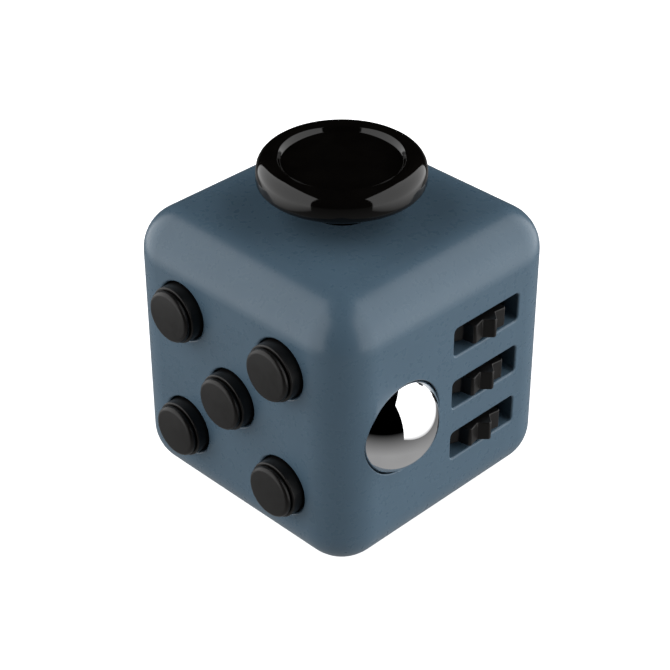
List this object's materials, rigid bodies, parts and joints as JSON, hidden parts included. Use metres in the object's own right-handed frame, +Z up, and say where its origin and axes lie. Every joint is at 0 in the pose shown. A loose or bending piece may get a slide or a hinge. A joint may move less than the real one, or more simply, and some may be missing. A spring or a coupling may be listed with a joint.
{
  "type": "fidget cube",
  "caption": "Rounded plastic cube with a different toy on each face: glide disc, click buttons, press ball with gears, flip rocker, spin dial and thumb dish.",
  "frame": {"origin": "middle of the bottom face, on the surface that the cube stands on", "axes": "+Z up through the glide disc; -Y is the button face, +X the ball and gear face, -X the rocker face, +Y the dial face, -Z the thumb dish face"},
  "size_m": [0.0383, 0.0364, 0.0393],
  "materials": {
    "case_plastic": "satin",
    "gloss_black": "polished",
    "satin_black": "satin",
    "polished_steel": "mirror",
    "steel_pin": "ground",
    "screw_steel": "zinc plated",
    "spring_steel": "bright",
    "silicone": "soft",
    "inner_plastic": "moulded",
    "slippery_plastic": "natural"
  },
  "bodies": {
    "case": {"shell": "case_plastic", "base_cover": "case_plastic", "glide_base": "inner_plastic", "glide_springs_y": "spring_steel", "glide_base_screws": "screw_steel", "button_backplate": "inner_plastic", "backplate_screws": "screw_steel", "ball_spring": "spring_steel", "ball_housing": "inner_plastic", "ball_housing_screws": "screw_steel", "gear_cradle": "inner_plastic", "gear_axle": "steel_pin", "gear_spacers": "slippery_plastic", "gear_click_springs": "spring_steel", "gear_cradle_screws": "screw_steel", "flip_pin": "steel_pin", "flip_frame": "inner_plastic", "flip_snap_spring": "spring_steel", "flip_frame_screws": "screw_steel", "spin_bush": "slippery_plastic", "click_dome_top_left": "spring_steel", "click_dome_top_right": "spring_steel", "click_dome_centre": "spring_steel", "silent_dome_bottom_left": "silicone", "silent_dome_bottom_right": "silicone"},
    "glide_tray": {"glide_cross_slide": "slippery_plastic", "glide_springs_x": "spring_steel"},
    "glide": {"glide_cap": "gloss_black", "glide_slider": "satin_black"},
    "ball_plunger": {"ball_cup": "slippery_plastic"},
    "ball_swivel": {"ball_pad": "slippery_plastic"},
    "ball": {"ball": "polished_steel"},
    "flip": {"flip_rocker": "satin_black"},
    "spin": {"spin_dial": "satin_black", "spin_washer": "steel_pin", "spin_screw": "screw_steel"},
    "button_top_left": {"button_top_left": "satin_black"},
    "button_top_right": {"button_top_right": "satin_black"},
    "button_centre": {"button_centre": "satin_black"},
    "button_bottom_left": {"button_bottom_left": "satin_black"},
    "button_bottom_right": {"button_bottom_right": "satin_black"},
    "gear_top": {"gear_top": "satin_black"},
    "gear_middle": {"gear_middle": "satin_black"},
    "gear_bottom": {"gear_bottom": "satin_black"}
  },
  "joints": [
    {"name": "glide_y", "type": "slide", "parent": "case", "child": "glide_tray", "axis": [0, 1, 0], "range_m": [-0.0012, 0.0012], "stiffness_N_per_m": 300, "deforming": ["glide_springs_y"]},
    {"name": "glide_x", "type": "slide", "parent": "glide_tray", "child": "glide", "axis": [1, 0, 0], "range_m": [-0.0012, 0.0012], "stiffness_N_per_m": 300, "deforming": ["glide_springs_x"]},
    {"name": "ball_press", "type": "slide", "parent": "case", "child": "ball_plunger", "axis": [-1, 0, 0], "range_m": [0, 0.001], "stiffness_N_per_m": 800, "deforming": ["ball_spring"]},
    {"name": "ball_swivel", "type": "hinge", "parent": "ball_plunger", "child": "ball_swivel", "pos_m": [0.01345, -0.0074, 0.0165], "axis": [1, 0, 0], "continuous": true},
    {"name": "ball_roll", "type": "hinge", "parent": "ball_swivel", "child": "ball", "pos_m": [0.01345, -0.0074, 0.0165], "axis": [0, 0, 1], "continuous": true},
    {"name": "flip", "type": "hinge", "parent": "case", "child": "flip", "pos_m": [-0.0135, 0, 0.0165], "axis": [0, -1, 0], "range_deg": [0, 20]},
    {"name": "spin", "type": "hinge", "parent": "case", "child": "spin", "pos_m": [0, 0.0165, 0.0165], "axis": [0, 1, 0], "continuous": true},
    {"name": "press_top_left", "type": "slide", "parent": "case", "child": "button_top_left", "axis": [0, 1, 0], "range_m": [0, 0.0008], "stiffness_N_per_m": 600, "deforming": ["click_dome_top_left"]},
    {"name": "press_top_right", "type": "slide", "parent": "case", "child": "button_top_right", "axis": [0, 1, 0], "range_m": [0, 0.0008], "stiffness_N_per_m": 600, "deforming": ["click_dome_top_right"]},
    {"name": "press_centre", "type": "slide", "parent": "case", "child": "button_centre", "axis": [0, 1, 0], "range_m": [0, 0.0008], "stiffness_N_per_m": 600, "deforming": ["click_dome_centre"]},
    {"name": "press_bottom_left", "type": "slide", "parent": "case", "child": "button_bottom_left", "axis": [0, 1, 0], "range_m": [0, 0.0008], "stiffness_N_per_m": 600, "deforming": ["silent_dome_bottom_left"]},
    {"name": "press_bottom_right", "type": "slide", "parent": "case", "child": "button_bottom_right", "axis": [0, 1, 0], "range_m": [0, 0.0008], "stiffness_N_per_m": 600, "deforming": ["silent_dome_bottom_right"]},
    {"name": "roll_top", "type": "hinge", "parent": "case", "child": "gear_top", "pos_m": [0.0134, 0.00515, 0.02335], "axis": [0, 0, 1], "continuous": true, "deforming": ["gear_click_springs"]},
    {"name": "roll_middle", "type": "hinge", "parent": "case", "child": "gear_middle", "pos_m": [0.0134, 0.00515, 0.0166], "axis": [0, 0, 1], "continuous": true, "deforming": ["gear_click_springs"]},
    {"name": "roll_bottom", "type": "hinge", "parent": "case", "child": "gear_bottom", "pos_m": [0.0134, 0.00515, 0.00985], "axis": [0, 0, 1], "continuous": true, "deforming": ["gear_click_springs"]}
  ]
}
